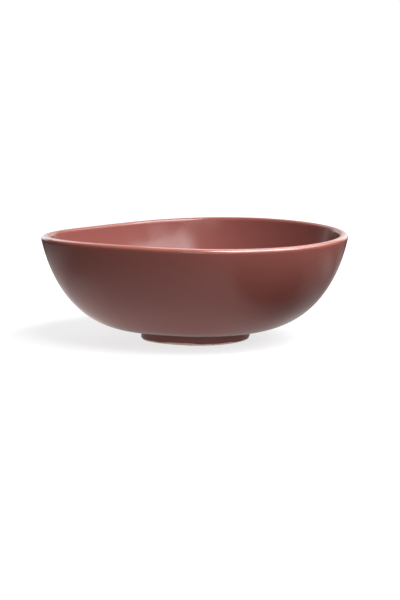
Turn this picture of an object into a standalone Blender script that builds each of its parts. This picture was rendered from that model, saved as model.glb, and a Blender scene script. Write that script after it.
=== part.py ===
"""Cereal bowl: glazed stoneware on a low foot ring, pressed gently out of round.

Units are metres and +Z is up. The origin is on the table, under the middle of the bowl's outline.
Each piece is a section in the XZ plane, turned about Z, and then pressed out of round. One rule presses
every piece, so the coats of glaze keep their clearance to the clay all the way round.
"""

from math import atan2, cos, hypot, pi, radians, sin

import bmesh
import bpy
from mathutils import Color, Vector

# The outline seen from above
LENGTH = 0.175  # over the rim, along X
WIDTH = 0.158  # over the rim, along Y
CORNER_SWELL = 0.036  # how far its three soft corners stand out, as a share of the radius
CORNER_TURN = radians(196.5)  # where the corner at the narrow end points
SQUARENESS = 0.0215  # a slight four-sided swell, as a share of the radius
SQUARE_TURN = radians(5.0)
RIM_TWIST = 0.0008  # how far the rim rises and dips, twice round the bowl

# The wall, seen from the side
RIM_HEIGHT = 0.0615  # crest of the lip above the table, halfway between its rises and dips
RIM_LEAN = radians(12.0)  # outward lean of the wall at the lip
RIM_PULL = 0.0245  # how strongly the curve of the wall follows that lean
BELLY_PULL = 0.0345  # how strongly it leaves the foot level
CLAY_WALL = 0.0032
GLAZE = 0.0005  # thickness of each coat
CLEARANCE = 0.0003  # between neighbouring pieces

# The foot ring
FOOT_LENGTH = 0.063  # over its glazed outer side, along X
FOOT_HEIGHT = 0.0060  # from the table to the glazed underside of the floor
FOOT_WALL = 0.0045  # clay, from the outer side of the ring to its inner side
FOOT_EDGE = 0.0008  # rounding along both edges of the standing face
FOOT_FILLET = 0.0012  # where the glaze turns from the ring to the floor
BARE_FOOT = 0.0010  # unglazed height, wiped clean above the table

# Fineness of the mesh
SEGMENTS = 60
WALL_STEPS = 12
LIP_STEPS = 6
CORNER_STEPS = 3
OUTLINE_SAMPLES = 720
SMOOTH_ANGLE = radians(40.0)
MERGE_DISTANCE = 0.00001

# Each surface's sRGB colour and its roughness
CLAY = ((0.62, 0.45, 0.36), 0.85)
FOOT_CLAY = ((0.66, 0.49, 0.40), 0.90)
INSIDE_RED = ((0.55, 0.25, 0.23), 0.36)
OUTSIDE_RED = ((0.46, 0.22, 0.21), 0.40)
UNDERSIDE_RED = ((0.42, 0.20, 0.19), 0.42)

# What follows from these sizes
HALF_LENGTH = LENGTH / 2
COAT = GLAZE + CLEARANCE
WALL = CLAY_WALL + 2 * COAT
LIP_RADIUS = WALL / 2
LIP_CENTRE = Vector((HALF_LENGTH - LIP_RADIUS, RIM_HEIGHT - LIP_RADIUS))
FOOT_OUTSIDE = FOOT_LENGTH / 2
FOOT_CLAY_OUTSIDE = FOOT_OUTSIDE - COAT
FOOT_CLAY_INSIDE = FOOT_CLAY_OUTSIDE - FOOT_WALL
FOOT_INSIDE = FOOT_CLAY_INSIDE - COAT


def arc(centre, radius, start, end, steps):
    """Points along an arc, from one angle to another."""
    angles = [start + (end - start) * step / steps for step in range(steps + 1)]
    return [centre + radius * Vector((cos(angle), sin(angle))) for angle in angles]


def wall_curve():
    """The four control points of the outside surface, from the edge of the foot to the lip."""
    foot = Vector((FOOT_OUTSIDE + FOOT_FILLET, FOOT_HEIGHT))
    lip = LIP_CENTRE + LIP_RADIUS * Vector((cos(RIM_LEAN), -sin(RIM_LEAN)))
    lean = Vector((sin(RIM_LEAN), cos(RIM_LEAN)))
    return foot, foot + Vector((BELLY_PULL, 0)), lip - RIM_PULL * lean, lip


def wall_line(depth):
    """The wall's line this deep under the outside surface, from the foot up to the lip."""
    a, b, c, d = wall_curve()
    line = []
    for step in range(WALL_STEPS + 1):
        t = step / WALL_STEPS
        u = 1 - t
        point = u**3 * a + 3 * u * u * t * b + 3 * u * t * t * c + t**3 * d
        slope = (u * u * (b - a) + 2 * u * t * (c - b) + t * t * (d - c)).normalized()
        line.append(point - depth * Vector((slope.y, -slope.x)))
    return line


def lip_line(depth):
    """The lip's line this deep under its surface, from the inner side over to the outer side."""
    return arc(LIP_CENTRE, LIP_RADIUS - depth, pi - RIM_LEAN, -RIM_LEAN, LIP_STEPS)


def foot_corner(depth, side, reach):
    """The glaze's turn from foot ring to floor, going up; side is 1 outside the ring and -1 inside it."""
    centre = Vector((reach + side * FOOT_FILLET, FOOT_HEIGHT - FOOT_FILLET))
    start = pi if side > 0 else 0
    return arc(centre, FOOT_FILLET + depth, start, pi / 2, CORNER_STEPS)


def body_section():
    """Clay floor and wall, from the middle of the floor over the lip to the middle of the underside."""
    inner = wall_line(WALL - COAT)
    outer = wall_line(COAT)
    floor_middle = Vector((0, inner[0].y))
    underside_middle = Vector((0, outer[0].y))
    return [floor_middle, *inner[:-1], *lip_line(COAT), *reversed(outer[:-1]), underside_middle]


def liner_line(depth):
    """The liner coat's line from the middle of the floor up to just short of the lip."""
    line = wall_line(WALL - depth)
    line[-1] -= CLEARANCE * Vector((sin(RIM_LEAN), cos(RIM_LEAN)))
    return [Vector((0, line[0].y)), *line]


def inside_glaze_section():
    """Liner coat: its face up from the middle of the floor, and its back down again."""
    return [*liner_line(0), *reversed(liner_line(GLAZE))]


def outer_coat_line(depth):
    """The outer coat's line from the inner side of the lip down to the bare foot."""
    wall = reversed(wall_line(depth)[1:-1])
    corner = reversed(foot_corner(depth, 1, FOOT_OUTSIDE))
    return [*lip_line(depth), *wall, *corner, Vector((FOOT_OUTSIDE - depth, BARE_FOOT))]


def outside_glaze_section():
    """Outer coat: its face down from the lip, and its back up again."""
    return [*outer_coat_line(0), *reversed(outer_coat_line(GLAZE))]


def hollow_coat_line(depth):
    """The line of the coat inside the foot ring, from the bare foot up to the middle of the floor."""
    corner = foot_corner(depth, -1, FOOT_INSIDE)
    return [Vector((FOOT_INSIDE + depth, BARE_FOOT)), *corner, Vector((0, FOOT_HEIGHT + depth))]


def underside_glaze_section():
    """Coat in the hollow of the foot: its back out from the middle and down, and its face up again."""
    return [*reversed(hollow_coat_line(GLAZE)), *hollow_coat_line(0)]


def foot_ring_section():
    """Clay ring under the floor, with a flat standing face between two rounded edges."""
    top = FOOT_HEIGHT + COAT - CLEARANCE
    outer_edge = Vector((FOOT_CLAY_OUTSIDE - FOOT_EDGE, FOOT_EDGE))
    inner_edge = Vector((FOOT_CLAY_INSIDE + FOOT_EDGE, FOOT_EDGE))
    return [
        Vector((FOOT_CLAY_INSIDE, top)),
        Vector((FOOT_CLAY_OUTSIDE, top)),
        *arc(outer_edge, FOOT_EDGE, 0, -pi / 2, CORNER_STEPS),
        *arc(inner_edge, FOOT_EDGE, -pi / 2, -pi, CORNER_STEPS),
    ]


def outline(angle):
    """The outline before it is brought to its length and width."""
    corners = CORNER_SWELL * cos(3 * (angle - CORNER_TURN))
    sides = SQUARENESS * cos(4 * (angle - SQUARE_TURN))
    return (1 + corners + sides) * Vector((cos(angle), sin(angle)))


def outline_box():
    """The middle and the size of the box round that outline."""
    points = [outline(2 * pi * sample / OUTLINE_SAMPLES) for sample in range(OUTLINE_SAMPLES)]
    low = Vector((min(point.x for point in points), min(point.y for point in points)))
    high = Vector((max(point.x for point in points), max(point.y for point in points)))
    return (low + high) / 2, high - low


def press_out_of_round(mesh):
    """Move a turned mesh from a circle to the outline, and let its rim rise and dip."""
    middle, size = outline_box()
    for vertex in mesh.vertices:
        x, y, z = vertex.co
        angle = atan2(y, x)
        share = hypot(x, y) / HALF_LENGTH
        pressed = outline(angle) - middle
        vertex.co.x = share * pressed.x * LENGTH / size.x
        vertex.co.y = share * pressed.y * WIDTH / size.y
        vertex.co.z = z + RIM_TWIST * sin(2 * angle) * (z / RIM_HEIGHT) ** 2


def turned_mesh(section, closed):
    """Turn a section about Z; it runs clockwise, and is closed or has both its ends on the axis."""
    profile = bpy.data.meshes.new("section")
    count = len(section)
    edges = [(index, (index + 1) % count) for index in range(count if closed else count - 1)]
    profile.from_pydata([(point.x, 0, point.y) for point in section], edges, [])
    guide = bpy.data.objects.new("section", profile)
    bpy.context.scene.collection.objects.link(guide)
    screw = guide.modifiers.new("turn", "SCREW")
    screw.angle = 2 * pi
    screw.steps = SEGMENTS
    screw.render_steps = SEGMENTS
    screw.use_merge_vertices = True
    screw.merge_threshold = MERGE_DISTANCE
    turned = bpy.data.meshes.new_from_object(guide.evaluated_get(bpy.context.evaluated_depsgraph_get()))
    bpy.data.objects.remove(guide)
    bpy.data.meshes.remove(profile)
    return turned


def weld(mesh):
    """Join the vertices that meet on the axis and along the seam, and turn the faces outwards."""
    shape = bmesh.new()
    shape.from_mesh(mesh)
    bmesh.ops.remove_doubles(shape, verts=shape.verts, dist=MERGE_DISTANCE)
    bmesh.ops.recalc_face_normals(shape, faces=shape.faces)
    shape.to_mesh(mesh)
    shape.free()


def surface(name, colour, roughness):
    """A plain material of an sRGB colour."""
    material = bpy.data.materials.new(name)
    material.use_nodes = True
    shader = material.node_tree.nodes["Principled BSDF"]
    linear = Color(colour).from_srgb_to_scene_linear()
    shader.inputs["Base Color"].default_value = (*linear, 1)
    shader.inputs["Roughness"].default_value = roughness
    shader.inputs["Metallic"].default_value = 0
    material.diffuse_color = (*linear, 1)
    return material


def add_piece(name, section, closed, look, collection, parent):
    """Turn, press and shade one piece of the bowl."""
    mesh = turned_mesh(section, closed)
    weld(mesh)
    press_out_of_round(mesh)
    mesh.name = name
    mesh.shade_smooth()
    mesh.set_sharp_from_angle(angle=SMOOTH_ANGLE)
    mesh.materials.clear()
    mesh.materials.append(surface(name, *look))
    piece = bpy.data.objects.new(name, mesh)
    piece.parent = parent
    collection.objects.link(piece)


def main():
    for thing in list(bpy.data.objects):
        bpy.data.objects.remove(thing)
    collection = bpy.data.collections.new("cereal_bowl")
    bpy.context.scene.collection.children.link(collection)
    table_point = bpy.data.objects.new("table_point", None)
    collection.objects.link(table_point)

    add_piece("bowl_body", body_section(), False, CLAY, collection, table_point)
    add_piece("foot_ring", foot_ring_section(), True, FOOT_CLAY, collection, table_point)
    add_piece("inside_glaze", inside_glaze_section(), False, INSIDE_RED, collection, table_point)
    add_piece("outside_glaze", outside_glaze_section(), True, OUTSIDE_RED, collection, table_point)
    add_piece("underside_glaze", underside_glaze_section(), False, UNDERSIDE_RED, collection, table_point)


main()
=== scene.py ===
"""A cereal bowl in satin burgundy glaze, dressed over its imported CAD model.

Units are metres and +Z is up. Every turned piece is a section in the plane of radius and height, turned
about the Z axis and pressed out of round by the bowl's outline, with the same sizes as the CAD model. The
clay shell keeps the model's own mesh. The coats of glaze are finer than the model's: they meet at the lip,
thin out over it, gather in the corner above the foot, and end in a rolled edge that wanders a little round
the foot.
"""
import logging
from dataclasses import dataclass, field
from enum import Enum
from math import cos, pi, radians, sin

import bmesh
import bpy
import numpy as np
from mathutils import Color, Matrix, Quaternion, Vector


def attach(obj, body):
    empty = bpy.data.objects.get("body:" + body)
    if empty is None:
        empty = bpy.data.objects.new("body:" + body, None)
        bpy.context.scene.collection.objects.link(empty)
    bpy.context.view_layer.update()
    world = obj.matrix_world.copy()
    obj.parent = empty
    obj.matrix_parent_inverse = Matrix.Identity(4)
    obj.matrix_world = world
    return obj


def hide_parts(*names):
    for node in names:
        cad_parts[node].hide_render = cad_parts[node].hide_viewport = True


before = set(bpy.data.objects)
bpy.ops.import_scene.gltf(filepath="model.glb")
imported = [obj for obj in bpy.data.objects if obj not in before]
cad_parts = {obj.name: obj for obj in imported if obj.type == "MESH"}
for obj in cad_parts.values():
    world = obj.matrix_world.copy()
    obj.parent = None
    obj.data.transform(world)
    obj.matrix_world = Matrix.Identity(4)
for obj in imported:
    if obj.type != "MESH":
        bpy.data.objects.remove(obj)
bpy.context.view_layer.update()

ROOT = "root"
LOG = logging.getLogger("cereal_bowl")
# A point of a section this near the axis, in metres, is a point of the axis.
ON_AXIS = 0.00001
# The middle of the floor under the bowl, and the point that the camera and the lights look at.
MIDDLE = (0.0, 0.0, 0.0)
AIM = (0.0, 0.0, 0.035)
WHITE = (1.0, 1.0, 1.0, 1.0)
# Where Blender's Mix node keeps its two numbers, its two colours and the mixed colour.
MIX_NUMBERS = (2, 3)
MIX_COLOURS = (6, 7)
MIXED_COLOUR = 2

Array = np.ndarray
Colour = tuple[float, float, float]
Point = tuple[float, float, float]
Reach = tuple[float, float]
Socket = bpy.types.NodeSocket
Tree = bpy.types.NodeTree


class Slot(Enum):
    """The pieces' material slots."""

    BODY_CLAY = "body_clay"
    FOOT_CLAY = "foot_clay"
    INSIDE = "inside_glaze"
    OUTSIDE = "outside_glaze"
    UNDERSIDE = "underside_glaze"


class Mask(Enum):
    """What the pieces' vertices tell the finishes, from 0 to 1."""

    THIN = "thin_glaze"
    POOLED = "pooled_glaze"
    RUBBED = "rubbed_clay"


class Side(Enum):
    """The two sides of the foot ring, as the direction of growing radius."""

    OUTER = 1
    HOLLOW = -1


@dataclass(frozen=True)
class Outline:
    """The bowl seen from above, and the slow rise and dip of its rim."""

    length: float = 0.175
    width: float = 0.158
    corners: int = 3
    corner_swell: float = 0.036
    corner_turn: float = radians(196.5)
    sides: int = 4
    squareness: float = 0.0215
    square_turn: float = radians(5.0)
    rim_waves: int = 2
    rim_twist: float = 0.0008
    rim_height: float = 0.0615
    samples: int = 720

    def loose(self, angles: Array) -> Array:
        """The outline before it is brought to its length and width.

        Args:
            angles: Directions from the axis, in radians.

        Returns:
            One row of x and y for each angle.
        """
        corners = self.corner_swell * np.cos(self.corners * (angles - self.corner_turn))
        sides = self.squareness * np.cos(self.sides * (angles - self.square_turn))
        return (1 + corners + sides)[:, None] * np.stack([np.cos(angles), np.sin(angles)], axis=1)

    def press(self, radius: float, heights: Array, angles: Array) -> Array:
        """Press one ring of a turned shape out of round.

        Args:
            radius: The ring's radius before pressing.
            heights: Its height at each angle.
            angles: Directions from the axis, in radians.

        Returns:
            One row of x, y and z for each angle.
        """
        box = self.loose(np.linspace(0, 2 * pi, self.samples, endpoint=False))
        middle, size = (box.min(0) + box.max(0)) / 2, box.max(0) - box.min(0)
        share = radius / (self.length / 2)
        flat = share * (self.loose(angles) - middle) * np.array([self.length, self.width]) / size
        lift = self.rim_twist * np.sin(self.rim_waves * angles) * (heights / self.rim_height) ** 2
        return np.column_stack([flat, heights + lift])


@dataclass(frozen=True)
class Section:
    """The bowl cut through its axis: every line that the clay and the glaze follow."""

    half_length: float = 0.0875
    rim_height: float = 0.0615
    rim_lean: float = radians(12.0)
    rim_pull: float = 0.0245
    belly_pull: float = 0.0345
    wall: float = 0.0048
    glaze: float = 0.0005
    lip_fullness: float = 2.3
    foot_outside: float = 0.0315
    foot_inside: float = 0.0254
    foot_height: float = 0.0060
    foot_edge: float = 0.0008
    foot_fillet: float = 0.0012
    bare_foot: float = 0.0010
    wall_steps: int = 72
    lip_steps: int = 24
    corner_steps: int = 10

    @staticmethod
    def arc(centre: Array, radius: float, start: float, end: float, steps: int) -> Array:
        """Points along an arc.

        Args:
            centre: Radius and height of its middle.
            radius: Its radius.
            start: First angle, in radians.
            end: Last angle, in radians.
            steps: Number of equal steps.

        Returns:
            One row of radius and height for each point.
        """
        angles = np.linspace(start, end, steps + 1)
        return centre + radius * np.stack([np.cos(angles), np.sin(angles)], axis=1)

    @property
    def lip_radius(self) -> float:
        """Half the wall, because the lip is a half round."""
        return self.wall / 2

    @property
    def lip_centre(self) -> Array:
        """Middle of the lip's rounding."""
        return np.array([self.half_length - self.lip_radius, self.rim_height - self.lip_radius])

    def wall_line(self, depth: float, steps: int) -> Array:
        """The wall's line at one depth under the outside surface.

        Args:
            depth: How far under the surface, in metres.
            steps: Number of steps from the foot up to the lip.

        Returns:
            One row of radius and height for each point, from the foot up.
        """
        lean = np.array([sin(self.rim_lean), cos(self.rim_lean)])
        a = np.array([self.foot_outside + self.foot_fillet, self.foot_height])
        b = a + np.array([self.belly_pull, 0.0])
        d = self.lip_centre + self.lip_radius * np.array([cos(self.rim_lean), -sin(self.rim_lean)])
        c = d - self.rim_pull * lean
        t = np.linspace(0, 1, steps + 1)[:, None]
        u = 1 - t
        point = u**3 * a + 3 * u * u * t * b + 3 * u * t * t * c + t**3 * d
        slope = u * u * (b - a) + 2 * u * t * (c - b) + t * t * (d - c)
        slope /= np.linalg.norm(slope, axis=1)[:, None]
        return point - depth * np.stack([slope[:, 1], -slope[:, 0]], axis=1)

    def lip_line(self, depth: float, steps: int) -> Array:
        """The lip's line at one depth, from the inner side over to the outer side.

        Args:
            depth: How far under the surface, in metres.
            steps: Number of steps over the lip.

        Returns:
            One row of radius and height for each point.
        """
        reach = self.lip_radius - depth
        line = self.arc(np.zeros(2), 1.0, pi, 0.0, steps)
        fuller = (np.abs(line) ** self.lip_fullness).sum(axis=1) ** (-1 / self.lip_fullness)
        share = reach / self.lip_radius if depth else 1.0
        line = line * (reach * (1 + (fuller - 1) * share))[:, None]
        cosine, sine = cos(self.rim_lean), sin(self.rim_lean)
        turn = np.array([[cosine, -sine], [sine, cosine]])
        return self.lip_centre + line @ turn

    def foot_corner(self, depth: float, side: Side, steps: int) -> Array:
        """The glaze's turn from the foot ring to the floor above it, going up.

        Args:
            depth: How far under the glaze's surface, in metres.
            side: Which side of the foot ring.
            steps: Number of steps round the turn.

        Returns:
            One row of radius and height for each point.
        """
        reach = self.foot_outside if side is Side.OUTER else self.foot_inside
        centre = np.array([reach + side.value * self.foot_fillet, self.foot_height - self.foot_fillet])
        start = pi if side is Side.OUTER else 0.0
        return self.arc(centre, self.foot_fillet + depth, start, pi / 2, steps)

    def rolled_edge(self, side: Side, steps: int) -> Array:
        """The quarter round in which a coat ends on the bare foot, from its face in to the clay.

        Args:
            side: Which side of the foot ring.
            steps: Number of steps round the edge.

        Returns:
            One row of radius and height for each point.
        """
        face = self.foot_outside if side is Side.OUTER else self.foot_inside
        centre = np.array([face - side.value * self.glaze, self.bare_foot + self.glaze])
        start = 0.0 if side is Side.OUTER else -pi
        return self.arc(centre, self.glaze, start, -pi / 2, steps)


def way_from(line: Array, start: int) -> Array:
    """Distance along a line from one of its points.

    Args:
        line: Rows of radius and height.
        start: Index of the point to measure from.

    Returns:
        The distance for each point, never negative.
    """
    steps = np.linalg.norm(np.diff(line, axis=0), axis=1)
    along = np.concatenate([[0.0], np.cumsum(steps)])
    return np.abs(along - along[start])


def fade(distance: Array, full: float, gone: float) -> Array:
    """A soft fall from 1 to 0 with distance.

    Args:
        distance: Distances, in metres.
        full: Up to here the value is 1.
        gone: From here on it is 0.

    Returns:
        Values from 0 to 1.
    """
    t = np.clip((distance - full) / (gone - full), 0, 1)
    return 1 - t * t * (3 - 2 * t)


@dataclass
class Turning:
    """A section ready to be turned: its line, and what each of its points knows."""

    line: Array
    closed: bool
    masks: dict[Mask, Array] = field(default_factory=dict)
    sway: Array | None = None
    segments: int = 216
    wander: float = 0.00022
    waves: tuple[tuple[float, int, float], ...] = ((1.0, 3, 0.7), (0.7, 7, 2.1), (0.4, 16, 4.0))
    sharp_from: float = radians(40.0)

    def glaze_edge(self, angles: Array) -> Array:
        """How the edge of the glaze wanders up and down round the foot."""
        return self.wander * sum(share * np.sin(count * angles + start) for share, count, start in self.waves)

    def rings(self, outline: Outline) -> list[Array]:
        """Every ring of points, from the first point of the line to the last.

        Args:
            outline: The outline that presses the rings out of round.

        Returns:
            One array of x, y and z rows for each point of the line; a point on the axis has one row.
        """
        angles = np.linspace(0, 2 * pi, self.segments, endpoint=False)
        sway = np.zeros(len(self.line)) if self.sway is None else self.sway
        made = []
        for (radius, height), share in zip(self.line, sway):
            if radius < ON_AXIS:
                made.append(np.array([[0.0, 0.0, height]]))
            else:
                made.append(outline.press(radius, height + share * self.glaze_edge(angles), angles))
        return made

    def mesh(self, name: str, outline: Outline) -> bpy.types.Mesh:
        """Turn the section into a mesh of quads, with triangles only round the axis.

        Args:
            name: The mesh's name.
            outline: The outline that presses it out of round.

        Returns:
            The mesh, smooth but for its true edges, with one float attribute for each mask.
        """
        rings = self.rings(outline)
        starts = np.concatenate([[0], np.cumsum([len(ring) for ring in rings])])
        faces: list[tuple[int, ...]] = []
        pairs = list(zip(range(len(rings) - 1), range(1, len(rings))))
        if self.closed:
            pairs.append((len(rings) - 1, 0))
        for low, high in pairs:
            if len(rings[low]) == len(rings[high]) == 1:
                continue
            for step in range(self.segments):
                after = (step + 1) % self.segments
                lower = [starts[low] + k for k in ((step, after) if len(rings[low]) > 1 else (0,))]
                upper = [starts[high] + k for k in ((after, step) if len(rings[high]) > 1 else (0,))]
                faces.append(tuple(int(index) for index in lower + upper))
        mesh = bpy.data.meshes.new(name)
        mesh.from_pydata(np.concatenate(rings).tolist(), [], faces)
        shape = bmesh.new()
        shape.from_mesh(mesh)
        bmesh.ops.recalc_face_normals(shape, faces=shape.faces)
        shape.to_mesh(mesh)
        shape.free()
        mesh.shade_smooth()
        mesh.set_sharp_from_angle(angle=self.sharp_from)
        for mask, values in self.masks.items():
            spread = np.concatenate([np.full(len(ring), value) for ring, value in zip(rings, values)])
            layer = mesh.attributes.new(mask.value, "FLOAT", "POINT")
            layer.data.foreach_set("value", spread.astype(np.float32))
        return mesh


@dataclass
class Nodes:
    """A node tree being filled in."""

    tree: Tree

    def add(self, kind: str, **settings: object) -> bpy.types.Node:
        """Add a node and set its plain properties.

        Args:
            kind: The node's type name, without its ShaderNode prefix.
            **settings: Properties of the node by name.

        Returns:
            The node.
        """
        node = self.tree.nodes.new("ShaderNode" + kind)
        for name, value in settings.items():
            setattr(node, name, value)
        return node

    def feed(self, socket: Socket, value: object) -> None:
        """Link an input to an output, or set it to a plain value.

        Args:
            socket: The input.
            value: The output or the value.
        """
        if isinstance(value, Socket):
            self.tree.links.new(value, socket)
        else:
            socket.default_value = value

    def fill(self, node: bpy.types.Node, *values: object) -> Socket:
        """Feed a node's first inputs in their order.

        Args:
            node: The node.
            *values: A value or socket for each input.

        Returns:
            The node's first output.
        """
        for socket, value in zip(node.inputs, values):
            self.feed(socket, value)
        return node.outputs[0]

    def maths(self, operation: str, first: object, second: object = 0.0, third: object = 0.0) -> Socket:
        """The result of a Math node on two or three values."""
        return self.fill(self.add("Math", operation=operation), first, second, third)

    def span(self, value: object, low: float, high: float, to_low: object = 0.0, to_high: object = 1.0,
             kind: str = "SMOOTHSTEP") -> Socket:
        """A Map Range node.

        Args:
            value: Value or socket to map.
            low: The value that becomes to_low.
            high: The value that becomes to_high.
            to_low: Result at and below low.
            to_high: Result at and above high.
            kind: The node's interpolation.

        Returns:
            The node's output.
        """
        return self.fill(self.add("MapRange", interpolation_type=kind), value, low, high, to_low, to_high)

    def blend(self, share: object, first: object, second: object) -> Socket:
        """A Mix node for colours.

        Args:
            share: How much of the second colour, as a value or socket.
            first: First colour or socket.
            second: Second colour or socket.

        Returns:
            The node's colour output.
        """
        node = self.add("Mix", data_type="RGBA")
        self.feed(node.inputs["Factor"], share)
        for index, colour in zip(MIX_COLOURS, (first, second)):
            self.feed(node.inputs[index], colour)
        return node.outputs[MIXED_COLOUR]

    def choose(self, share: object, first: Socket, second: Socket) -> Socket:
        """The mix of two shaders, of which the share belongs to the second."""
        return self.fill(self.add("MixShader"), share, first, second)

    def place(self) -> Socket:
        """The place on the object, in metres."""
        return self.add("TexCoord").outputs["Object"]

    def mask(self, mask: Mask) -> Socket:
        """What the vertices say about one mask."""
        return self.add("Attribute", attribute_name=mask.value).outputs["Fac"]

    def noise(self, place: Socket, scale: object, detail: float = 2.0, roughness: float = 0.5) -> Socket:
        """A 3-D noise.

        Args:
            place: Socket with the place in metres.
            scale: Waves per metre.
            detail: Octaves of finer noise.
            roughness: Strength of the finer octaves.

        Returns:
            The noise, around 0.5.
        """
        node = self.add("TexNoise")
        for label, value in (("Vector", place), ("Scale", scale), ("Detail", detail),
                             ("Roughness", roughness)):
            self.feed(node.inputs[label], value)
        return node.outputs["Fac"]

    def cells(self, place: Socket, scale: object) -> tuple[Socket, Socket]:
        """Cells strewn at random.

        Args:
            place: Socket with the place in metres.
            scale: Cells per metre.

        Returns:
            The distance from the nearest cell's middle, and that cell's own number from 0 to 1.
        """
        node = self.add("TexVoronoi", feature="F1")
        self.feed(node.inputs["Vector"], place)
        self.feed(node.inputs["Scale"], scale)
        return node.outputs["Distance"], self.fill(self.add("SeparateColor"), node.outputs["Color"])

    def relief(self, height: Socket, depth: float) -> Socket:
        """A Bump node.

        Args:
            height: Socket with the height, in depths.
            depth: The depth that a height of 1 stands for, in metres.

        Returns:
            The bent normal.
        """
        node = self.add("Bump")
        self.feed(node.inputs["Height"], height)
        node.inputs["Distance"].default_value = depth
        return node.outputs["Normal"]

    def group(self, tree: Tree, values: dict[str, object]) -> bpy.types.Node:
        """Place a node group with values of its own.

        Args:
            tree: The group.
            values: A value or socket for each named input.

        Returns:
            The group's node.
        """
        node = self.add("Group", node_tree=tree)
        for label, value in values.items():
            self.feed(node.inputs[label], value)
        return node


def new_group(name: str, takes: dict[str, object],
              gives: dict[str, str]) -> tuple[Nodes, dict[str, Socket], dict[str, Socket]]:
    """Start a shader node group.

    Args:
        name: The group's name.
        takes: Each input's name and starting value: a number, or a colour of four numbers.
        gives: Each output's name and socket type.

    Returns:
        The group's nodes, its inputs as sockets to read, and its outputs as sockets to feed.
    """
    tree = bpy.data.node_groups.new(name, "ShaderNodeTree")
    for label, value in takes.items():
        kind = "NodeSocketFloat" if isinstance(value, float) else "NodeSocketColor"
        socket = tree.interface.new_socket(label, in_out="INPUT", socket_type=kind)
        socket.default_value = value
    for label, kind in gives.items():
        tree.interface.new_socket(label, in_out="OUTPUT", socket_type=kind)
    entry, leave = tree.nodes.new("NodeGroupInput"), tree.nodes.new("NodeGroupOutput")
    return (Nodes(tree), {label: entry.outputs[label] for label in takes},
            {label: leave.inputs[label] for label in gives})


def new_material(name: str) -> tuple[bpy.types.Material, Nodes, bpy.types.Node]:
    """Start a material.

    Args:
        name: The material's name.

    Returns:
        The material, its nodes and its Principled shader.
    """
    material = bpy.data.materials.new(name)
    material.use_nodes = True
    return material, Nodes(material.node_tree), material.node_tree.nodes["Principled BSDF"]


def linear(colour: Colour) -> tuple[float, float, float, float]:
    """An sRGB colour as the shader's linear colour with alpha."""
    return (*Color(colour).from_srgb_to_scene_linear(), 1.0)


@dataclass(frozen=True)
class GlazeTone:
    """The colour of a glaze that breaks paler where it is thin and darker where it is pooled."""

    cloud_detail: float = 4.0
    cloud_roughness: float = 0.55
    cloud_share: float = 0.65
    fine_scale: float = 11.0
    fine_share: float = 0.35
    raggedness: float = 0.8
    thin_enough: Reach = (0.0, 0.25)
    breaking: Reach = (0.02, 1.0)
    pool_share: float = 0.85

    def build(self) -> Tree:
        """Build the group.

        Returns:
            The group, with Thin and Pooled as its masks and Color as its output.
        """
        nodes, given, out = new_group(
            "glaze_tone",
            {"Thin": 0.0, "Pooled": 0.0, "Body": WHITE, "Break": WHITE, "Pool": WHITE,
             "Cloud Scale": 60.0, "Cloud Amount": 0.3},
            {"Color": "NodeSocketColor"})
        place = nodes.place()
        clouds = nodes.noise(place, given["Cloud Scale"], self.cloud_detail, self.cloud_roughness)
        fine = nodes.noise(place, nodes.maths("MULTIPLY", given["Cloud Scale"], self.fine_scale))
        coarse = nodes.maths("MULTIPLY", clouds, self.cloud_share)
        mottle = nodes.maths("SUBTRACT", nodes.maths("MULTIPLY_ADD", fine, self.fine_share, coarse), 0.5)
        swing = nodes.maths("MULTIPLY", mottle, given["Cloud Amount"])
        lighter = nodes.maths("MAXIMUM", swing, 0.0)
        darker = nodes.maths("MAXIMUM", nodes.maths("MULTIPLY", swing, -1.0), 0.0)
        ragged = nodes.maths("MULTIPLY_ADD", mottle, self.raggedness, given["Thin"])
        ragged = nodes.maths("MULTIPLY", ragged, nodes.span(given["Thin"], *self.thin_enough))
        body = nodes.blend(lighter, given["Body"], given["Break"])
        body = nodes.blend(darker, body, given["Pool"])
        body = nodes.blend(nodes.maths("MULTIPLY", given["Pooled"], self.pool_share), body, given["Pool"])
        nodes.feed(out["Color"], nodes.blend(nodes.span(ragged, *self.breaking), body, given["Break"]))
        return nodes.tree


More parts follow.
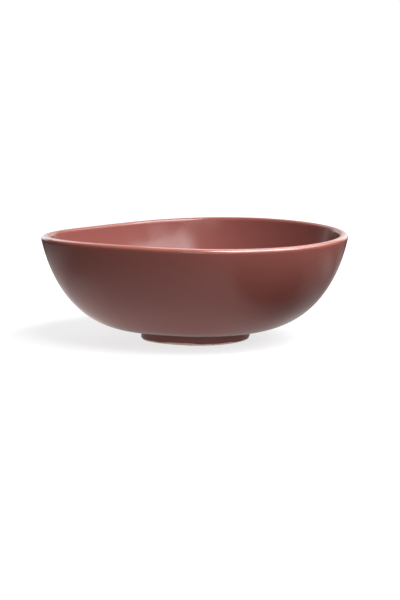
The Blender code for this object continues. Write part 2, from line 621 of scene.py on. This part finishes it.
@dataclass(frozen=True)
class SatinSurface:
    """The skin of a satin glaze: soft ripples, fine crystals and a few pinholes."""

    ripple_detail: float = 1.0
    ripple_roughness: float = 0.4
    crystal_roughness: float = 0.6
    crystal_height: float = 0.05
    pinholes_from: float = 0.965
    pinhole_edge: Reach = (0.02, 0.05)
    pinhole_depth: float = 1.2
    drift_scale: float = 0.3
    drift_detail: float = 3.0
    drift_roughness: float = 0.6
    crystal_share: float = 0.5
    drift_span: Reach = (0.25, 0.75)
    thin_gloss: float = 0.05

    def build(self) -> Tree:
        """Build the group.

        Returns:
            The group, with Roughness and Height as its outputs.
        """
        nodes, given, out = new_group(
            "satin_surface",
            {"Thin": 0.0, "Sheen Low": 0.3, "Sheen High": 0.42, "Ripple Scale": 220.0,
             "Crystal Scale": 3200.0, "Pinhole Scale": 170.0},
            {"Roughness": "NodeSocketFloat", "Height": "NodeSocketFloat"})
        place = nodes.place()
        ripples = nodes.noise(place, given["Ripple Scale"], self.ripple_detail, self.ripple_roughness)
        crystals = nodes.noise(place, given["Crystal Scale"], roughness=self.crystal_roughness)
        away, number = nodes.cells(place, given["Pinhole Scale"])
        pit = nodes.maths("MULTIPLY", nodes.span(away, *self.pinhole_edge, 1.0, 0.0),
                          nodes.maths("GREATER_THAN", number, self.pinholes_from))
        height = nodes.maths("MULTIPLY_ADD", crystals, self.crystal_height, ripples)
        nodes.feed(out["Height"], nodes.maths("MULTIPLY_ADD", pit, -self.pinhole_depth, height))
        drift = nodes.noise(place, nodes.maths("MULTIPLY", given["Ripple Scale"], self.drift_scale),
                            self.drift_detail, self.drift_roughness)
        mixed = nodes.maths("MULTIPLY_ADD", nodes.maths("SUBTRACT", crystals, 0.5), self.crystal_share, drift)
        rough = nodes.span(mixed, *self.drift_span, given["Sheen Low"], given["Sheen High"])
        nodes.feed(out["Roughness"], nodes.maths("MULTIPLY_ADD", given["Thin"], -self.thin_gloss, rough))
        return nodes.tree


@dataclass(frozen=True)
class FiredClay:
    """Bare stoneware: warm and uneven in colour, with sand grains, iron specks and a fine tooth."""

    cloud_scale: float = 90.0
    cloud_detail: float = 3.0
    cloud_roughness: float = 0.6
    cloud_span: Reach = (0.3, 0.7)
    cloud_share: float = 0.45
    grain_detail: float = 3.0
    grain_roughness: float = 0.7
    grain_span: Reach = (0.35, 0.7)
    grain_share: float = 0.35
    speck_edge: Reach = (0.18, 0.42)
    iron_from: float = 0.93
    sand_below: float = 0.16
    sand_height: float = 0.6
    rubbed_share: float = 0.5
    rubbed_gloss: float = 0.2
    rubbed_away: float = 0.6
    tooth_span: Reach = (0.3, 0.7)
    tooth: Reach = (0.82, 0.95)

    def build(self) -> Tree:
        """Build the group.

        Returns:
            The group, with Color, Roughness and Height as its outputs.
        """
        nodes, given, out = new_group(
            "fired_clay",
            {"Clay": WHITE, "Grog": WHITE, "Iron": WHITE, "Rubbed": 0.0, "Grain Scale": 2600.0,
             "Speck Scale": 900.0},
            {"Color": "NodeSocketColor", "Roughness": "NodeSocketFloat", "Height": "NodeSocketFloat"})
        place = nodes.place()
        clouds = nodes.noise(place, self.cloud_scale, self.cloud_detail, self.cloud_roughness)
        grain = nodes.noise(place, given["Grain Scale"], self.grain_detail, self.grain_roughness)
        away, number = nodes.cells(place, given["Speck Scale"])
        near = nodes.span(away, *self.speck_edge, 1.0, 0.0)
        iron = nodes.maths("MULTIPLY", near, nodes.maths("GREATER_THAN", number, self.iron_from))
        sand = nodes.maths("MULTIPLY", near, nodes.maths("LESS_THAN", number, self.sand_below))
        colour = given["Clay"]
        for share in (nodes.span(clouds, *self.cloud_span, 0.0, self.cloud_share),
                      nodes.span(grain, *self.grain_span, 0.0, self.grain_share),
                      sand, nodes.maths("MULTIPLY", given["Rubbed"], self.rubbed_share)):
            colour = nodes.blend(share, colour, given["Grog"])
        nodes.feed(out["Color"], nodes.blend(iron, colour, given["Iron"]))
        rough = nodes.span(grain, *self.tooth_span, *self.tooth)
        nodes.feed(out["Roughness"], nodes.maths("MULTIPLY_ADD", given["Rubbed"], -self.rubbed_gloss, rough))
        raised = nodes.maths("MULTIPLY_ADD", sand, self.sand_height, grain)
        worn = nodes.maths("MULTIPLY", raised, given["Rubbed"])
        nodes.feed(out["Height"], nodes.maths("MULTIPLY_ADD", worn, -self.rubbed_away, raised))
        return nodes.tree


@dataclass
class Effects:
    """The node groups, each built once."""

    glaze_tone: Tree = field(default_factory=lambda: GlazeTone().build())
    satin_surface: Tree = field(default_factory=lambda: SatinSurface().build())
    fired_clay: Tree = field(default_factory=lambda: FiredClay().build())


@dataclass(frozen=True)
class GlazeFinish:
    """A satin burgundy glaze over stoneware, with a glassier skin where it is thin."""

    name: str
    body: Colour = (0.500, 0.288, 0.263)
    thin: Colour = (0.60, 0.355, 0.315)
    pool: Colour = (0.43, 0.235, 0.215)
    sheen: Reach = (0.15, 0.21)
    cloud_scale: float = 55.0
    cloud_amount: float = 0.16
    relief: float = 0.000012
    coat_roughness: float = 0.08
    ior: float = 1.5

    def material(self, effects: Effects) -> bpy.types.Material:
        """Build the finish.

        Args:
            effects: The shared node groups.

        Returns:
            The material.
        """
        material, nodes, shader = new_material(self.name)
        thin = nodes.mask(Mask.THIN)
        tone = nodes.group(effects.glaze_tone, {
            "Thin": thin, "Pooled": nodes.mask(Mask.POOLED), "Body": linear(self.body),
            "Break": linear(self.thin), "Pool": linear(self.pool),
            "Cloud Scale": self.cloud_scale, "Cloud Amount": self.cloud_amount})
        skin = nodes.group(effects.satin_surface,
                           {"Thin": thin, "Sheen Low": self.sheen[0], "Sheen High": self.sheen[1]})
        nodes.feed(shader.inputs["Base Color"], tone.outputs["Color"])
        nodes.feed(shader.inputs["Roughness"], skin.outputs["Roughness"])
        nodes.feed(shader.inputs["Normal"], nodes.relief(skin.outputs["Height"], self.relief))
        nodes.feed(shader.inputs["Coat Weight"], thin)
        shader.inputs["Coat Roughness"].default_value = self.coat_roughness
        shader.inputs["IOR"].default_value = self.ior
        return material


@dataclass(frozen=True)
class ClayFinish:
    """Fired stoneware without glaze."""

    name: str
    clay: Colour
    grog: Colour
    iron: Colour = (0.30, 0.20, 0.16)
    relief: float = 0.00004

    def material(self, effects: Effects) -> bpy.types.Material:
        """Build the finish.

        Args:
            effects: The shared node groups.

        Returns:
            The material.
        """
        material, nodes, shader = new_material(self.name)
        clay = nodes.group(effects.fired_clay, {
            "Clay": linear(self.clay), "Grog": linear(self.grog), "Iron": linear(self.iron),
            "Rubbed": nodes.mask(Mask.RUBBED)})
        nodes.feed(shader.inputs["Base Color"], clay.outputs["Color"])
        nodes.feed(shader.inputs["Roughness"], clay.outputs["Roughness"])
        nodes.feed(shader.inputs["Normal"], nodes.relief(clay.outputs["Height"], self.relief))
        return material


@dataclass(frozen=True)
class PaleFloorFinish:
    """The plain pale floor that the bowl stands on: matt paper, which also glows with painted light.

    The camera sees it white. What it sends to the bowl is painted light, seen in the glaze as painted
    reflections:
    brightest beside the bowl and falling off away from it, with a painted shadow under it, painted shade to
    the right, painted patches of light and painted shades. Distances are in metres.
    """

    name: str = "pale_floor"
    colour: Colour = (0.52, 0.52, 0.52)
    paper_shade: float = 0.97
    paper_scale: float = 4.0
    paper_detail: float = 3.0
    roughness: float = 0.9
    specular: float = 0.1
    seen_glow: float = 0.75
    seen_far_glow: float = 1.0
    seen_far: Reach = (0.4, 1.6)
    warmth: Colour = (1.08, 1.0, 0.99)
    # The painted light that only the bowl sees: its colour, strengths and reaches.
    near_glow: float = 0.80
    far_glow: float = 0.205
    near: Reach = (0.06, 0.16)
    back_glow: float = 0.38
    back: Reach = (0.0, 0.10)
    back_skew: float = -0.35
    end_share: float = 0.15
    end: Reach = (0.14, 0.34)
    # Painted shade: the glow dims to the right.
    right_painted_shade_share: float = 0.69
    right: Reach = (0.03, 0.09)
    # Painted shadow: the glow dims under the bowl.
    painted_shadow_share: float = 0.47
    under: Reach = (0.036, 0.070)
    # Painted patches of light, which show as painted reflections on the bowl's sides.
    painted_patches: tuple[tuple[Point, Reach, float], ...] = (
        ((-0.095, -0.025, 0.0), (0.010, 0.045), 0.22),
        ((0.170, 0.025, 0.0), (0.010, 0.055), 0.50),
    )
    # Painted shades: dark zones in the glow, which show as painted dark reflections on the bowl.
    painted_shades: tuple[tuple[Point, Reach], ...] = (
        ((0.105, -0.110, 0.0), (0.057, 0.078)),
        ((0.086, -0.068, 0.0), (0.0, 0.070)),
    )

    def distance(self, nodes: Nodes, place: Socket, point: Point) -> Socket:
        """How far a place on the floor is from a point of it.

        Args:
            nodes: The floor's nodes.
            place: Socket with the place.
            point: The point.

        Returns:
            The distance.
        """
        node = nodes.add("VectorMath", operation="DISTANCE")
        nodes.fill(node, place, point)
        return node.outputs["Value"]

    def glow(self, nodes: Nodes, place: Socket) -> Socket:
        """How brightly the floor's painted light glows at the bowl: most beside it, less in its painted
        shadow and shades.

        Args:
            nodes: The floor's nodes.
            place: Socket with the place on the floor.

        Returns:
            The glow's strength.
        """
        split = nodes.add("SeparateXYZ")
        nodes.feed(split.inputs[0], place)
        across, along = split.outputs["X"], split.outputs["Y"]
        middle = self.distance(nodes, place, MIDDLE)
        glow = nodes.span(middle, *self.near, self.near_glow, self.far_glow, "LINEAR")
        # Painted patches of light.
        for point, reach, strength in self.painted_patches:
            painted_patch = nodes.span(self.distance(nodes, place, point), *reach, strength, 0.0)
            glow = nodes.maths("ADD", glow, painted_patch)
        # Painted shade to the right.
        glow = nodes.maths("MULTIPLY", glow, nodes.span(across, *self.right, 1.0, self.right_painted_shade_share))
        skewed = nodes.maths("MULTIPLY_ADD", across, self.back_skew, along)
        glow = nodes.maths("ADD", glow, nodes.span(skewed, *self.back, 0.0, self.back_glow))
        # Painted shadow under the bowl.
        glow = nodes.maths("MULTIPLY", glow, nodes.span(middle, *self.under, self.painted_shadow_share, 1.0))
        glow = nodes.maths("MULTIPLY", glow, nodes.span(middle, *self.end, 1.0, self.end_share))
        # Painted shades.
        for point, reach in self.painted_shades:
            glow = nodes.maths("MULTIPLY", glow, nodes.span(self.distance(nodes, place, point), *reach))
        return glow

    def material(self) -> bpy.types.Material:
        """Build the finish: faintly uneven paper for the camera, a glow of painted light for the bowl,
        nothing from below.

        Returns:
            The material.
        """
        material, nodes, shader = new_material(self.name)
        place = nodes.place()
        pale = linear(self.colour)
        shade = (*(self.paper_shade * channel for channel in pale[:3]), 1.0)
        uneven = nodes.noise(place, self.paper_scale, self.paper_detail)
        nodes.feed(shader.inputs["Base Color"], nodes.blend(uneven, pale, shade))
        shader.inputs["Roughness"].default_value = self.roughness
        shader.inputs["Specular IOR Level"].default_value = self.specular
        shader.inputs["Emission Color"].default_value = WHITE
        nodes.feed(shader.inputs["Emission Strength"],
                   nodes.span(self.distance(nodes, place, MIDDLE), *self.seen_far,
                              self.seen_glow, self.seen_far_glow))
        lit = nodes.add("Emission")
        lit.inputs["Color"].default_value = (*self.warmth, 1.0)
        nodes.feed(lit.inputs["Strength"], self.glow(nodes, place))
        ray = nodes.add("LightPath").outputs["Is Camera Ray"]
        seen = nodes.choose(ray, lit.outputs[0], shader.outputs[0])
        below = nodes.add("NewGeometry").outputs["Backfacing"]
        sheet = nodes.choose(below, seen, nodes.add("BsdfTransparent").outputs[0])
        nodes.feed(material.node_tree.nodes["Material Output"].inputs["Surface"], sheet)
        return material


@dataclass(frozen=True)
class BackdropFinish:
    """The white cloth behind the bowl: white to the camera, painted light for the bowl, dimmer in its middle.
    """

    name: str = "white_backdrop"
    seen: float = 1.1
    middle_glow: float = 0.75
    side_glow: float = 1.45
    side: Reach = (0.35, 0.95)
    dim_share: float = 0.15
    end: Reach = (1.5, 2.4)
    top: Reach = (1.0, 1.8)

    def material(self) -> bpy.types.Material:
        """Build the finish: one even glow for the camera and one glow of painted light for the bowl.

        Returns:
            The material.
        """
        material = bpy.data.materials.new(self.name)
        material.use_nodes = True
        material.node_tree.nodes.clear()
        nodes = Nodes(material.node_tree)
        glow = nodes.add("Emission")
        split = nodes.add("SeparateXYZ")
        nodes.feed(split.inputs[0], nodes.place())
        aside = nodes.maths("ABSOLUTE", split.outputs["X"])
        # Painted light: a pool of glow, brighter at the sides and dimmer at the ends and the top.
        pool = nodes.span(aside, *self.side, self.middle_glow, self.side_glow)
        for value, reach in ((aside, self.end), (split.outputs["Z"], self.top)):
            pool = nodes.maths("MULTIPLY", pool, nodes.span(value, *reach, 1.0, self.dim_share))
        choice = nodes.add("Mix", data_type="FLOAT")
        nodes.feed(choice.inputs["Factor"], nodes.add("LightPath").outputs["Is Camera Ray"])
        for index, value in zip(MIX_NUMBERS, (pool, self.seen)):
            nodes.feed(choice.inputs[index], value)
        nodes.feed(glow.inputs["Strength"], choice.outputs[0])
        nodes.feed(nodes.add("OutputMaterial").inputs["Surface"], glow.outputs[0])
        return material


@dataclass
class SubAssembly:
    """What the bowl's parts have in common."""

    outline: Outline
    section: Section
    effects: Effects

    def place(self, slot: Slot, turning: Turning, material: bpy.types.Material,
              node: str) -> bpy.types.Object:
        """Turn a section, dress it and put it in place of a CAD node.

        Args:
            slot: The piece's material slot; not used.
            turning: The section to turn.
            material: The piece's finish.
            node: The CAD node that the piece stands for, after which it is named.

        Returns:
            The piece.
        """
        name = "visual_" + node
        piece = bpy.data.objects.new(name, turning.mesh(name, self.outline))
        bpy.context.scene.collection.objects.link(piece)
        piece.data.materials.append(material)
        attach(piece, ROOT)
        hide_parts(node)
        LOG.info("%s: %d faces, in place of %s", name, len(piece.data.polygons), node)
        return piece


@dataclass
class ClayBody(SubAssembly):
    """The clay shell inside the glaze. The model's own solid stays, with a real clay finish."""

    node: str = "bowl_body"
    finish: ClayFinish = ClayFinish("body_clay", (0.84, 0.72, 0.65), (0.93, 0.84, 0.77))

    def build(self) -> None:
        """Give the model's shell its finish."""
        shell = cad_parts[self.node]
        shell.data.materials.clear()
        shell.data.materials.append(self.finish.material(self.effects))
        LOG.info("%s: kept from the model, %d faces", self.node, len(shell.data.polygons))


@dataclass
class TurnedPiece(SubAssembly):
    """A piece that is turned from one section."""

    node: str
    slot: Slot
    finish: ClayFinish | GlazeFinish

    def turning(self) -> Turning:
        """The piece's section, which each piece draws for itself."""
        raise NotImplementedError

    def build(self) -> bpy.types.Object:
        """Make the piece."""
        return self.place(self.slot, self.turning(), self.finish.material(self.effects), self.node)


@dataclass
class FootRing(TurnedPiece):
    """The clay ring that the bowl stands on, bare along its standing face."""

    node: str = "foot_ring"
    slot: Slot = Slot.FOOT_CLAY
    finish: ClayFinish = ClayFinish("foot_clay", (0.88, 0.76, 0.69), (0.97, 0.89, 0.82))
    edge_steps: int = 8
    face_steps: int = 6
    rubbed_share: float = 0.6

    def turning(self) -> Turning:
        """Two sides, two rounded edges and the standing face between them.

        Returns:
            The ring's section.
        """
        cut = self.section
        outer, inner = cut.foot_outside - cut.glaze, cut.foot_inside + cut.glaze
        top = cut.foot_height + cut.glaze
        outer_edge = np.array([outer - cut.foot_edge, cut.foot_edge])
        inner_edge = np.array([inner + cut.foot_edge, cut.foot_edge])
        face = np.linspace(outer_edge[0], inner_edge[0], self.face_steps + 1)[1:-1]
        line = np.concatenate([
            [[inner, top], [outer, top]],
            cut.arc(outer_edge, cut.foot_edge, 0, -pi / 2, self.edge_steps),
            np.column_stack([face, np.zeros(len(face))]),
            cut.arc(inner_edge, cut.foot_edge, -pi / 2, -pi, self.edge_steps),
        ])
        rubbed = fade(line[:, 1], 0.0, self.rubbed_share * cut.foot_edge)
        return Turning(line, True, {Mask.RUBBED: rubbed})


@dataclass
class GlazeCoat(TurnedPiece):
    """A thin shell of glaze over the clay."""

    back_steps: int = 14
    lip_full: float = 0.0005
    lip_gone: float = 0.0034
    lip_gone_inside: float = 0.0019
    sway_height: float = 0.0030

    def lip_mask(self, line: Array, crest: int) -> Array:
        """How thin the glaze has run, from the crest of the lip down both its sides.

        Args:
            line: The coat's line, which comes up the inside.
            crest: Number of the crest's point in it.

        Returns:
            The mask at each point.
        """
        way = way_from(line, crest)
        inner, outer = (fade(way, self.lip_full, gone) for gone in (self.lip_gone_inside, self.lip_gone))
        return np.where(np.arange(len(line)) < crest, inner, outer)

    def sway(self, face: Array) -> Array:
        """How much of the wandering of the coat's edge each point takes up.

        Args:
            face: The coat's line.

        Returns:
            From 0 at the top of the foot's straight side to 1 near the bare clay.
        """
        top = self.section.foot_height - self.section.foot_fillet
        return np.clip((top - face[:, 1]) / self.sway_height, 0, 1)


@dataclass
class InsideGlaze(GlazeCoat):
    """The liner coat, over the floor and up the wall to the lip."""

    node: str = "inside_glaze"
    slot: Slot = Slot.INSIDE
    finish: GlazeFinish = GlazeFinish("inside_glaze", (0.468, 0.270, 0.250), (0.59, 0.350, 0.312))
    floor_steps: int = 12
    back_floor_steps: int = 2
    pool: Reach = (0.012, 0.042)
    pool_share: float = 0.8

    def face(self, depth: float, wall_steps: int, floor_steps: int) -> Array:
        """The coat's line at one depth, from the middle of the floor up to the lip.

        Args:
            depth: How far under the glaze's surface, in metres.
            wall_steps: Number of steps up the wall.
            floor_steps: Number of steps over the floor.

        Returns:
            One row of radius and height for each point.
        """
        wall = self.section.wall_line(self.section.wall - depth, wall_steps)
        reach = np.linspace(0, wall[0, 0], floor_steps + 1)[:-1]
        return np.concatenate([np.column_stack([reach, np.full(len(reach), wall[0, 1])]), wall])

    def turning(self) -> Turning:
        """The coat's face up from the middle of the floor, and its back down again.

        Returns:
            The coat's section.
        """
        cut = self.section
        face = self.face(0.0, cut.wall_steps, self.floor_steps)
        back = self.face(cut.glaze, self.back_steps, self.back_floor_steps)[::-1]
        lip = cut.lip_line(0.0, cut.lip_steps)
        over = np.concatenate([face, lip[1:cut.lip_steps // 2 + 1]])
        thin = self.lip_mask(over, len(over) - 1)[:len(face)]
        pooled = fade(face[:, 0], *self.pool) * self.pool_share
        thin, pooled = (np.concatenate([mask, np.full(len(back), mask[-1])]) for mask in (thin, pooled))
        return Turning(np.concatenate([face, back]), False, {Mask.THIN: thin, Mask.POOLED: pooled})


@dataclass
class OutsideGlaze(GlazeCoat):
    """The outer coat: over the lip, down the wall and down the foot ring to its bare edge."""

    node: str = "outside_glaze"
    slot: Slot = Slot.OUTSIDE
    finish: GlazeFinish = GlazeFinish("outside_glaze")
    foot_steps: int = 8
    edge_steps: int = 6
    pool: Reach = (0.0010, 0.0060)
    pool_top: float = 0.012

    def turning(self) -> Turning:
        """The coat's face down from the lip to the rolled edge, and its back up again.

        Returns:
            The coat's section.
        """
        cut = self.section
        lip = cut.lip_line(0.0, cut.lip_steps)
        wall = cut.wall_line(0.0, cut.wall_steps)[::-1]
        corner = cut.foot_corner(0.0, Side.OUTER, cut.corner_steps)[::-1]
        edge = cut.rolled_edge(Side.OUTER, self.edge_steps)
        foot = np.linspace(corner[-1], edge[0], self.foot_steps + 1)[1:-1]
        face = np.concatenate([lip, wall[1:-1], corner, foot, edge])
        back = np.concatenate([
            [[edge[-1, 0], cut.foot_height]],
            cut.wall_line(cut.glaze, self.back_steps)[1:-1],
            cut.lip_line(cut.glaze, self.back_steps)[::-1],
        ])
        low = way_from(face, len(lip) + len(wall) - 2)
        pooled = fade(low, *self.pool) * (face[:, 1] < self.pool_top)
        rest = np.zeros(len(back))
        masks = {Mask.THIN: np.concatenate([self.lip_mask(face, cut.lip_steps // 2), rest + 1]),
                 Mask.POOLED: np.concatenate([pooled, rest])}
        return Turning(np.concatenate([face, back]), True, masks, np.concatenate([self.sway(face), rest]))


@dataclass
class UndersideGlaze(GlazeCoat):
    """The coat in the hollow of the foot, under the floor."""

    node: str = "underside_glaze"
    slot: Slot = Slot.UNDERSIDE
    finish: GlazeFinish = GlazeFinish("underside_glaze")
    floor_steps: int = 12
    foot_steps: int = 8
    edge_steps: int = 6
    pool: Reach = (0.0010, 0.0050)

    def turning(self) -> Turning:
        """The coat's face from the rolled edge up to the middle of the floor, and its back out again.

        Returns:
            The coat's section.
        """
        cut = self.section
        edge = cut.rolled_edge(Side.HOLLOW, self.edge_steps)[::-1]
        corner = cut.foot_corner(0.0, Side.HOLLOW, cut.corner_steps)
        foot = np.linspace(edge[-1], corner[0], self.foot_steps + 1)[1:-1]
        floor = np.linspace(corner[-1], [0.0, cut.foot_height], self.floor_steps + 1)[1:]
        face = np.concatenate([edge, foot, corner, floor])
        top = cut.foot_height + cut.glaze
        back = np.array([[0.0, top], [edge[0, 0], top]])
        turn = len(edge) + len(foot) + cut.corner_steps // 2
        pooled = fade(way_from(face, turn), *self.pool)
        rest = np.zeros(len(back))
        return Turning(np.concatenate([face, back]), True,
                       {Mask.POOLED: np.concatenate([pooled, rest])}, np.concatenate([self.sway(face), rest]))


@dataclass(frozen=True)
class SoftBox:
    """A soft rectangular light that looks at a point of the bowl.

    Azimuth 0 is in front of the bowl and 90 on its right. Angles are in degrees, sizes in metres.
    """

    name: str
    azimuth: float
    elevation: float
    distance: float
    width: float
    height: float
    radiance: float

    def build(self, target: Vector) -> None:
        """Hang the light.

        Args:
            target: The point that it looks at.
        """
        turn, rise = radians(self.azimuth), radians(self.elevation)
        away = Vector((sin(turn) * cos(rise), -cos(turn) * cos(rise), sin(rise)))
        lamp = bpy.data.lights.new(self.name, "AREA")
        lamp.shape = "RECTANGLE"
        lamp.size, lamp.size_y = self.width, self.height
        lamp.energy = self.radiance * self.width * self.height * pi
        holder = bpy.data.objects.new(self.name, lamp)
        bpy.context.scene.collection.objects.link(holder)
        holder.location = target + self.distance * away
        holder.rotation_mode = "QUATERNION"
        holder.rotation_quaternion = away.to_track_quat("Z", "Y")
        LOG.info("%s: light at azimuth %g, elevation %g", self.name, self.azimuth, self.elevation)


@dataclass
class Studio:
    """A plain pale floor and a white backdrop in a white room, with soft lights."""

    target: Vector = field(default_factory=lambda: Vector(AIM))
    floor_reach: float = 30.0
    backdrop_away: float = 2.5
    backdrop_width: float = 10.0
    backdrop_height: float = 3.0
    seen_white: float = 1.1
    room_light: float = 0.05
    floor: PaleFloorFinish = PaleFloorFinish()
    backdrop: BackdropFinish = BackdropFinish()
    lights: tuple[SoftBox, ...] = (
        SoftBox("key_high", 52.0, 60.0, 1.5, 1.5, 0.7, 9.0),
        SoftBox("lip_light", 28.0, 62.0, 1.5, 0.8, 0.35, 13.0),
        SoftBox("key_low", 51.0, 36.0, 1.5, 1.65, 0.6, 4.4),
        SoftBox("key_low_side", 52.0, 21.0, 1.5, 0.5, 0.3, 1.3),
        SoftBox("key_low_edge", 15.0, 34.0, 1.5, 0.35, 0.45, 2.2),
        SoftBox("right_fill", 92.0, 42.0, 1.5, 1.0, 0.9, 3.4),
        SoftBox("back_light", 165.0, 52.0, 1.5, 1.0, 0.9, 1.6),
        SoftBox("back_left_fill", 215.0, 40.0, 1.5, 0.7, 0.7, 1.3),
        SoftBox("back_right_fill", 125.0, 35.0, 1.5, 0.7, 0.7, 1.2),
        SoftBox("back_left_low", 228.0, 8.0, 1.5, 0.2, 0.25, 0.5),
        SoftBox("front_low_fill", 0.0, 10.0, 1.6, 1.2, 0.35, 3.6),
    )

    def sheet(self, name: str, corners: list[Point],
              material: bpy.types.Material, away: float = 0.0) -> None:
        """Put up one flat sheet of the studio.

        Args:
            name: Its name.
            corners: Its four corners in order.
            material: Its finish.
            away: How far behind the bowl it hangs.
        """
        mesh = bpy.data.meshes.new(name)
        mesh.from_pydata(corners, [], [(0, 1, 2, 3)])
        mesh.materials.append(material)
        sheet = bpy.data.objects.new(name, mesh)
        bpy.context.scene.collection.objects.link(sheet)
        sheet.location.y = away

    def build(self) -> None:
        """Lay the floor, hang the backdrop and the lights, and light the room."""
        reach = self.floor_reach
        self.sheet("floor", [(-reach, -reach, 0), (reach, -reach, 0), (reach, reach, 0),
                             (-reach, reach, 0)], self.floor.material())
        half, rise = self.backdrop_width / 2, self.backdrop_height
        self.sheet("backdrop", [(-half, 0, 0), (half, 0, 0), (half, 0, rise), (-half, 0, rise)],
                   self.backdrop.material(), self.backdrop_away)
        for light in self.lights:
            light.build(self.target)
        self.light_room()

    def light_room(self) -> None:
        """White surroundings for the camera, and a dimmer soft room light for the bowl."""
        world = bpy.data.worlds.new("white_room")
        world.use_nodes = True
        world.node_tree.nodes.clear()
        nodes = Nodes(world.node_tree)
        lit, seen = (nodes.fill(nodes.add("Background"), WHITE, strength)
                     for strength in (self.room_light, self.seen_white))
        mix = nodes.choose(nodes.add("LightPath").outputs["Is Camera Ray"], lit, seen)
        nodes.feed(nodes.add("OutputWorld").inputs["Surface"], mix)
        bpy.context.scene.world = world


@dataclass(frozen=True)
class PhotoCamera:
    """The camera at the photograph's place, fitted to the bowl's rim, sides and foot."""

    target: Point = AIM
    elevation: float = radians(8.28)
    distance: float = 1.0
    roll: float = -0.0070
    focal_pixels: float = 1730.0
    long_side_pixels: float = 600.0
    right_pixels: float = -4.9
    up_pixels: float = 22.4
    sensor: float = 36.0

    def build(self) -> bpy.types.Object:
        """Place the camera so that its target shows where the photograph has it.

        Returns:
            The camera, already the scene's own.
        """
        away = Vector((0.0, -cos(self.elevation), sin(self.elevation)))
        looks = away.to_track_quat("Z", "Y")
        seen = Vector((self.right_pixels, self.up_pixels, -self.focal_pixels)).normalized()
        turn = seen.rotation_difference(Vector((0.0, 0.0, -1.0)))
        lean = Quaternion((0.0, 0.0, 1.0), self.roll)
        data = bpy.data.cameras.new("camera")
        data.sensor_fit = "AUTO"
        data.sensor_width = self.sensor
        data.lens = self.focal_pixels * self.sensor / self.long_side_pixels
        camera = bpy.data.objects.new("camera", data)
        bpy.context.scene.collection.objects.link(camera)
        camera.rotation_mode = "QUATERNION"
        camera.location = Vector(self.target) + self.distance * away
        camera.rotation_quaternion = looks @ lean @ turn
        bpy.context.scene.camera = camera
        LOG.info("camera: lens %.1f mm, %.2f m away", data.lens, self.distance)
        return camera


def main() -> None:
    """Build the bowl, the studio and the camera."""
    logging.basicConfig(level=logging.INFO, format="%(message)s")
    outline, section, effects = Outline(), Section(), Effects()
    for part in (ClayBody, FootRing, InsideGlaze, OutsideGlaze, UndersideGlaze):
        part(outline, section, effects).build()
    Studio().build()
    PhotoCamera().build()
    bpy.context.scene.view_settings.view_transform = "Standard"


if __name__ == "__main__":
    main()
